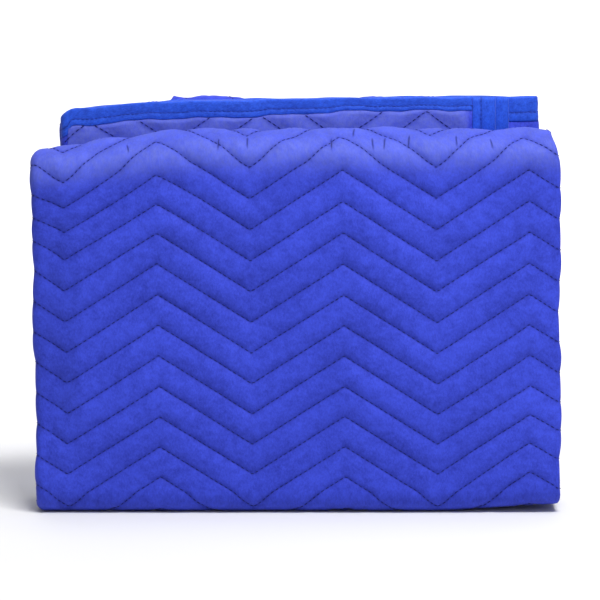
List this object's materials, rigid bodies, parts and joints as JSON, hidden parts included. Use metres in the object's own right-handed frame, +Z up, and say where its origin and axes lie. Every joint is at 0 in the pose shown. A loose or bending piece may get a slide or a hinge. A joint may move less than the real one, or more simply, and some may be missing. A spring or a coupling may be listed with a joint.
{
  "type": "folded moving blanket",
  "caption": "Quilted furniture moving blanket with zigzag stitching and bound edges, folded both ways into a flat upright bundle.",
  "frame": {"origin": "middle of the footprint, on the surface that the bottom fold stands on", "axes": "+Z up, -Y out of the plain front face, +X along the folded width, to the right seen from the front"},
  "size_m": [0.46, 0.097, 0.356],
  "materials": {
    "quilted_shell": "royal blue non-woven cloth, matt",
    "binding_tape": "cobalt blue non-woven tape, slight sheen"
  },
  "bodies": {
    "root": {"quilted_pad": "quilted_shell", "side_binding_outer": "binding_tape", "side_binding_inner": "binding_tape", "end_binding_flap": "binding_tape", "end_binding_inside": "binding_tape"}
  },
  "joints": []
}
